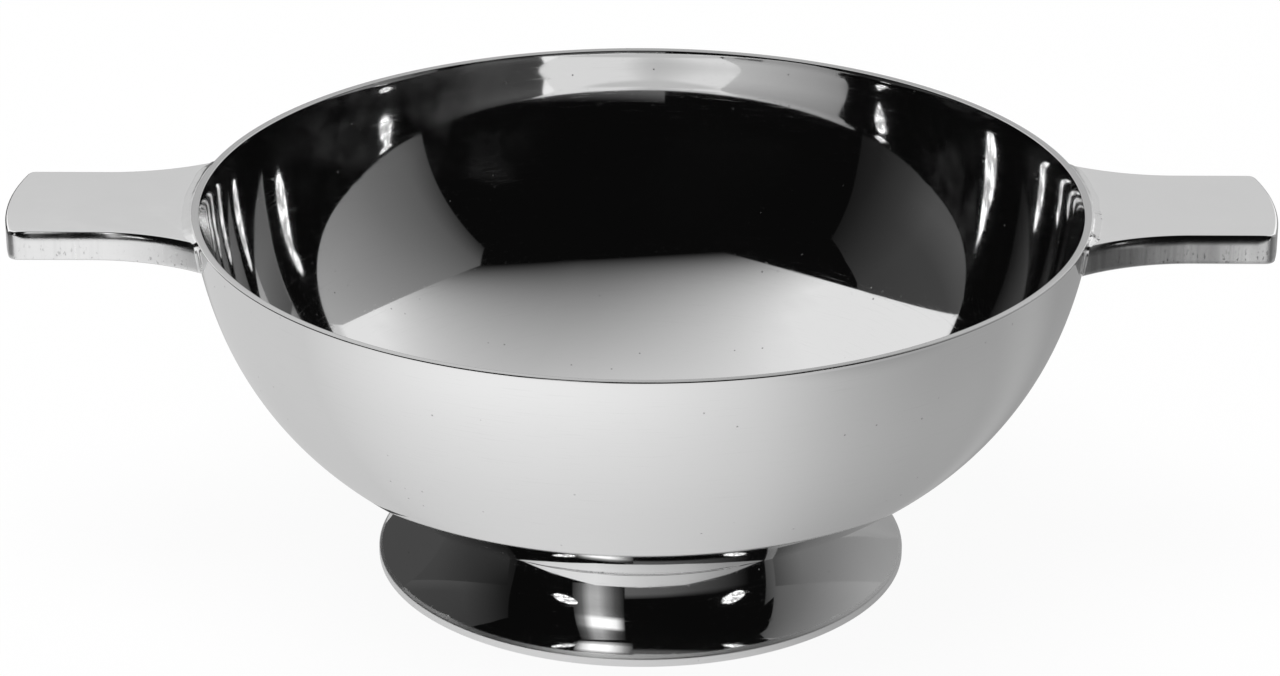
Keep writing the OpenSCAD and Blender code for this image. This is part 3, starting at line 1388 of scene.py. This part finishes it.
def left_panel() -> Card:
    """Give the dark panel on the left, whose front edge leans back."""
    back = (261, 272, 290, 308)
    top = (38.4, 39, 41.5, 43.2, 50, 58)
    rows = (
        (242, 250, -3, (0.01, 0.016, 0.04, 0.075, 0.1, 0.1)),
        (244, 250, 14, (0.01, 0.016, 0.04, 0.078, 0.1, 0.1)),
        (246, 250, 24, (0.01, 0.015, 0.034, 0.052, 0.055, 0.06)),
        (249.4, 252, top, (0.01, 0.014, 0.026, 0.04, 0.05, 0.05)),
    )
    made = (rails(sky, PANEL_AWAY, (one, two, *back), (rise, greys)) for one, two, rise, greys in rows)
    return Card("left_panel", tuple(rail for (rail,) in made))


def room() -> tuple[Card, ...]:
    """Give the black drape, the white sheet and the grey panels on both sides."""
    turns, rises, steps = (38, 180, 308), (-3, 45, 89), 24
    drape = tuple(sky(DRAPE_AWAY, tuple((turn, rise, BLACK) for turn in turns), steps) for rise in rises)
    return (Card("black_drape", drape), white_sheet(), *right_panels(), left_panel())


def low_cards() -> tuple[Card, ...]:
    """Give the low cards that stand round the bowl for the foot to show, and a dim strip of painted shade
    close round the foot at the left and behind.
    """
    wall = (0.2, 0.3, 0.5, 0.62, 0.8, 0.75, 0.4)
    wall_top = (3, 24, 36, 39, 37, 22, 3)
    wall_turns = (114, 140, 160, 180, 200, 222, 246)
    low_wall = rails(upright, WALL_AWAY, wall_turns, (0, wall), (wall_top, wall))
    grey_wall = rails(
        upright,
        GREY_AWAY,
        (130, 146, 168, 187),
        (0, (BLACK, 0.05, 0.1, 0.12)),
        ((40, 44, 50, 52), (BLACK, 0.045, 0.09, 0.11)),
        ((44, 54, 58, 60), (BLACK, BLACK, BLACK, 0.02)),
    )
    left = rails(
        upright,
        SIDE_AWAY,
        (242, 264, 282, 300, 345),
        (0, (0.03, 0.04, 0.06, 0.075, 0.075)),
        (51, (0.01, 0.036, 0.056, 0.06, 0.06)),
    )
    # Painted shade: a dim strip close round the foot stands in for the shaded table under the bowl.
    dim, ends = (0.066, 0.066), (250, 345)
    under_bowl_shade = (*rails(upright, 32.6, ends, (0.8, dim)), *rails(upright, 31.2, ends, (8.4, dim)))
    right = rails(
        upright,
        SIDE_AWAY,
        (15, 49, 66, 84, 102, 117),
        (0, (0.36, 0.3, 0.25, 0.2, 0.165, 0.07)),
        (51, (0.4, 0.37, 0.32, 0.23, 0.15, 0.06)),
    )
    return (
        Card("low_wall", low_wall),
        Card("grey_wall", grey_wall),
        Card("left_low_card", left),
        Card("back_left_painted_shade", under_bowl_shade),
        Card("right_low_card", right),
    )


def slanted(turns: Row, ends: Point, shares: Row, grey: float) -> Corners:
    """Give the corners of one slanted row of the strip light.

    Args:
        turns: degrees clockwise from behind the bowl, from its right end to its left.
        ends: how high its right and its left end are.
        shares: the share of the grey at each corner.
        grey: the full grey.

    Returns:
        The turn, the height and the grey of each corner.
    """
    right, left = ends
    slope = (left - right) / (turns[-1] - turns[0])
    heights = [right + slope * (turn - turns[0]) for turn in turns]
    return tuple(zip(turns, heights, [grey * share for share in shares]))


def strip_light() -> tuple[Card, ...]:
    """Give the strip light at the front, as the foot shows it first, and again by way of the bowl."""
    turns = (188, 192.4, 196.5, 200.5, 204.6, 208.7, 213)
    soft = (0.03, 0.18, 0.5, 1.0, 0.95, 0.27, 0.07)
    bar = (0.04, 0.85, 1.0, 1.0, 0.95, 0.22, 0.05)
    first = (
        ((11, 11), soft, 0.38),
        ((20, 20), soft, 0.47),
        ((29, 28), soft, 0.44),
        ((35.5, 32.5), soft, 0.55),
        ((38.5, 35), bar, 1.2),
        ((44, 40.5), bar, 1.2),
        ((46.5, 43), soft, 0.5),
        ((50, 46), soft, 0.36),
        ((54, 54), soft, 0.34),
    )
    near_turns = (183, 186.2, 189.8, 193.1, 199.6, 203, 206.4)
    wide = (0.05, 0.25, 0.65, 1.0, 1.0, 0.65, 0.08)
    again = (
        ((20, 24), 0.0),
        ((24, 28), 0.35),
        ((26.4, 32.6), 1.35),
        ((35.4, 42.4), 1.35),
        ((38.6, 46.6), 0.6),
        ((45, 54), 0.35),
    )
    far_rails = tuple(sky(STRIP_AWAY, slanted(turns, *row), steps=3) for row in first)
    near_rails = tuple(upright(STRIP_NEAR, slanted(near_turns, ends, wide, grey)) for ends, grey in again)
    return (
        Card("strip_light", far_rails, steps=2, seen=Seen.FIRST),
        Card("strip_again", near_rails, steps=2, seen=Seen.LATER),
    )


def flags() -> tuple[Card, ...]:
    """Give the small black flags that hide the lamps and the strip from some of the bowl."""
    places = (
        (-75, -33, -60, 52, 94),
        (54, 106.5, -60, 52, 103),
        (-42, 2, -40, 52, 150),
        (18.3, 34, -30, 54.5, 66),
    )
    made = []
    for i, (x0, x1, y, z0, z1) in enumerate(places):
        edges = tuple(((x0, y, z, BLACK), (x1, y, z, BLACK)) for z in (z0, z1))
        made.append(Card(f"flag_{i + 1}", edges, steps=1))
    return tuple(made)


def main() -> None:
    """Load the frame, dress each piece and set the stage."""
    logging.basicConfig(level=logging.INFO, format="%(name)s %(message)s")
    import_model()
    scene = bpy.context.scene
    scene.view_settings.view_transform = "Standard"
    scene.cycles.max_bounces, scene.cycles.glossy_bounces = MAX_BOUNCES, GLOSSY_BOUNCES

    bowl = Bowl()
    bowl.build(SpunPolish("bowl_polish", film=0.05, wavy_from=36 * MM, dressed_from=bowl.rim_z - 0.1 * MM))
    foot = Foot()
    foot.build(SpunPolish("foot_polish", satin_from=foot.lip_r - 0.4 * MM))
    foot.build_solder(bowl, SolderMetal("neck_solder"))
    # The right lug is worn, and its sides also carry painted shade towards the root.
    worn_and_shaded_metal = FiledMetal("lug_metal_right", satin=0.2, satin_top=0.5, pits=0.5, root_shade=0.5, streaks=0.8)
    lug_metals = {Side.LEFT: FiledMetal("lug_metal_left"), Side.RIGHT: worn_and_shaded_metal}
    seam_metals = {
        Side.LEFT: SolderMetal("lug_solder_left", tone=0.93, gloss=0.1, pits=-0.5),
        Side.RIGHT: SolderMetal("lug_solder_right", tone=0.93, gloss=0.1, pits=0.45),
    }
    for side in Side:
        lug = Lug(side, bowl)
        lug.build(lug_metals[side])
        lug.build_seam(seam_metals[side])

    studio = Studio()
    studio.place_camera()
    studio.lay_table()
    studio.light_world()
    studio.hang_cards()


if __name__ == "__main__":
    main()
